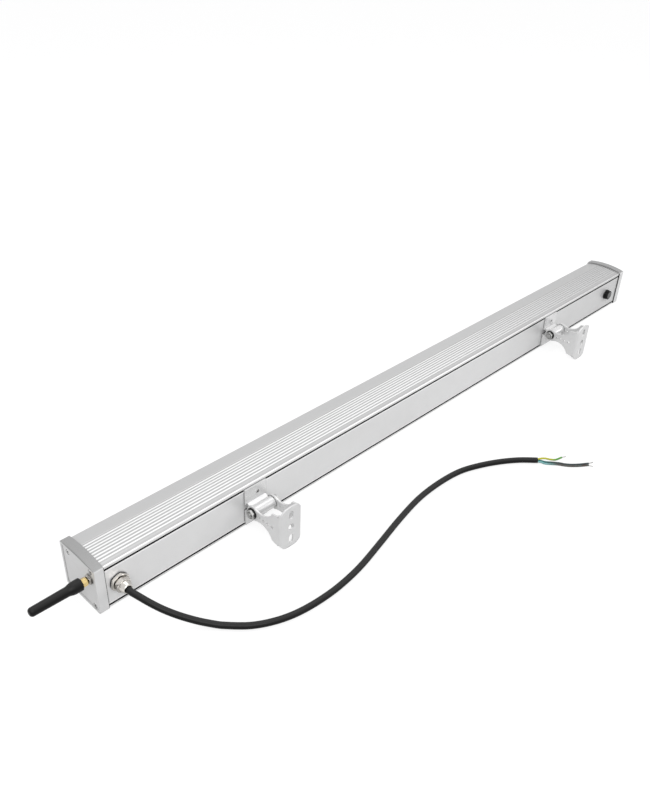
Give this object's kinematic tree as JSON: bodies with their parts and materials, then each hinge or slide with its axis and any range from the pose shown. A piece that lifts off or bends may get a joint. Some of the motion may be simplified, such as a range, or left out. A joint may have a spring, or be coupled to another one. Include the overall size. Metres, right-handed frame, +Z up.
{
  "type": "outdoor wall washer light",
  "caption": "Long bar lamp that washes a wall with light, on tilting feet that slide along its rails, with a mains cable, a vent plug and a screw-on radio antenna.",
  "frame": {"origin": "centre of the flat underside of the bar, on the surface it lies on", "axes": "+X along the bar towards the end with the vent, +Y out of the lit glass face, +Z up; the feet are on the -Y side"},
  "size_m": [1.062, 0.2677, 0.0584],
  "materials": {
    "alloy": "matt anodised extrusion",
    "cast_cap": "fine sand-blasted casting",
    "clip_alloy": "bright drawn extrusion",
    "foot_alloy": "satin bent sheet",
    "glass": "clear tempered glass",
    "seal_rubber": "matt",
    "white_board": "white solder mask",
    "green_board": "green solder mask",
    "chip": "clear resin over phosphor",
    "lens": "clear moulded",
    "black_plastic": "fine grained",
    "grey_disc": "porous disc",
    "component": "potted parts",
    "lead": "smooth insulation",
    "steel": "stainless",
    "nickel": "nickel plated",
    "brass": "gold flashed",
    "cable_jacket": "smooth rubber jacket with a soft sheen",
    "sleeve_rubber": "smooth moulded",
    "earth_insulation": "green with a yellow stripe",
    "live_insulation": "brown",
    "neutral_insulation": "blue green",
    "bare_conductor": "tinned strands"
  },
  "bodies": {
    "lamp": {"housing_profile": "alloy", "front_glass": "glass", "glass_seal": "seal_rubber", "led_board": "white_board", "led_chips": "chip", "lenses": "lens", "lens_holders": "black_plastic", "board_screws": "steel", "driver_board": "green_board", "driver_components": "component", "radio_module": "green_board", "antenna_pigtail": "lead", "inner_supply_lead": "cable_jacket", "supply_wires": "lead", "led_leads": "lead", "end_cap_near": "cast_cap", "end_cap_far": "cast_cap", "end_gasket_near": "seal_rubber", "end_gasket_far": "seal_rubber", "cap_screws_near": "steel", "cap_screws_far": "steel", "gland_body": "nickel", "gland_nut": "nickel", "gland_seal": "seal_rubber", "gland_washer": "seal_rubber", "gland_locknut": "nickel", "vent_plug": "black_plastic", "vent_membrane": "grey_disc", "vent_seal": "seal_rubber", "vent_nut": "black_plastic", "antenna_jack": "brass", "jack_nut": "nickel", "jack_washer": "nickel", "power_cable": "cable_jacket", "earth_wire": "earth_insulation", "live_wire": "live_insulation", "neutral_wire": "neutral_insulation", "wire_tips": "bare_conductor"},
    "clip_near": {"rail_clip_near": "clip_alloy", "clip_screw_near": "steel"},
    "clip_far": {"rail_clip_far": "clip_alloy", "clip_screw_far": "steel"},
    "foot_near": {"foot_bracket_near": "foot_alloy", "pivot_bolt_near": "steel", "pivot_nut_near": "steel", "pivot_washers_near": "black_plastic"},
    "foot_far": {"foot_bracket_far": "foot_alloy", "pivot_bolt_far": "steel", "pivot_nut_far": "steel", "pivot_washers_far": "black_plastic"},
    "antenna": {"antenna_sleeve": "sleeve_rubber", "antenna_ferrule": "brass", "antenna_radiator": "brass"},
    "antenna_coupling": {"antenna_nut": "brass"}
  },
  "joints": [
    {"name": "near_clip_slide", "type": "slide", "parent": "lamp", "child": "clip_near", "axis": [1, 0, 0], "range_m": [-0.1, 0.25]},
    {"name": "near_foot_tilt", "type": "hinge", "parent": "clip_near", "child": "foot_near", "pos_m": [-0.303, -0.0419, 0.0265], "axis": [1, 0, 0], "range_deg": [-90, 90]},
    {"name": "far_clip_slide", "type": "slide", "parent": "lamp", "child": "clip_far", "axis": [1, 0, 0], "range_m": [-0.25, 0.14]},
    {"name": "far_foot_tilt", "type": "hinge", "parent": "clip_far", "child": "foot_far", "pos_m": [0.282, -0.0419, 0.0265], "axis": [1, 0, 0], "range_deg": [-90, 90]},
    {"name": "antenna_nut_turn", "type": "hinge", "parent": "antenna", "child": "antenna_coupling", "pos_m": [-0.5062, -0.0199, 0.04], "axis": [-1, 0, 0], "range_deg": [0, 1440]},
    {"name": "antenna_draw", "type": "slide", "parent": "lamp", "child": "antenna", "axis": [-1, 0, 0], "range_m": [0, 0.00282]}
  ],
  "couplings": [
    {"joint": "antenna_nut_turn", "follows": "antenna_draw", "rad_per_m": 8904.7}
  ]
}
